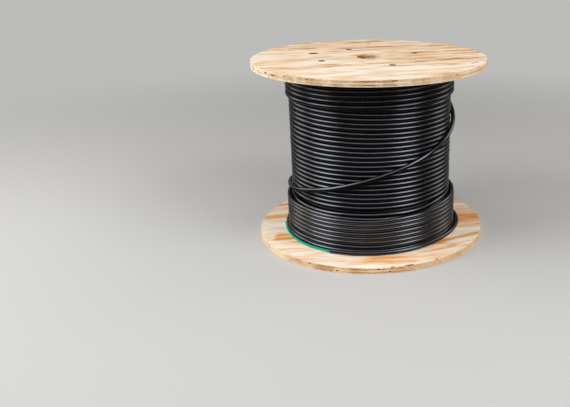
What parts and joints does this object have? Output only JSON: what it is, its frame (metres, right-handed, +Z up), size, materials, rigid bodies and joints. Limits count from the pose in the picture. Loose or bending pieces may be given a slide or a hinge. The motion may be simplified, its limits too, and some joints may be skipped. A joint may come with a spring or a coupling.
{
  "type": "wooden cable drum",
  "caption": "Plywood cable drum standing on its flange, wound with black rubber cable, with a loose crossing turn and a bared green conductor at the foot.",
  "frame": {"origin": "centre of the lower flange's underside, on the drum's axis", "axes": "+Z up along the drum's axis, -Y towards the viewer, +X to the viewer's right"},
  "size_m": [0.5079, 0.508, 0.396],
  "materials": {
    "plywood": "raw rotary-cut softwood plywood, sawn edges showing the plies",
    "paperboard": "wound kraft board",
    "bolt_steel": "dull dark zinc",
    "cable_rubber": "satin black extruded rubber",
    "green_insulation": "satin green wire insulation"
  },
  "bodies": {
    "root": {"flange_upper": "plywood", "flange_lower": "plywood", "barrel_tube": "paperboard", "tie_bolt_1": "bolt_steel", "tie_bolt_2": "bolt_steel", "tie_bolt_3": "bolt_steel", "tie_bolt_4": "bolt_steel", "washer_1": "bolt_steel", "washer_2": "bolt_steel", "washer_3": "bolt_steel", "washer_4": "bolt_steel", "nut_1": "bolt_steel", "nut_2": "bolt_steel", "nut_3": "bolt_steel", "nut_4": "bolt_steel", "wound_cable": "cable_rubber", "crossing_turn": "cable_rubber", "green_conductor": "green_insulation"}
  },
  "joints": []
}
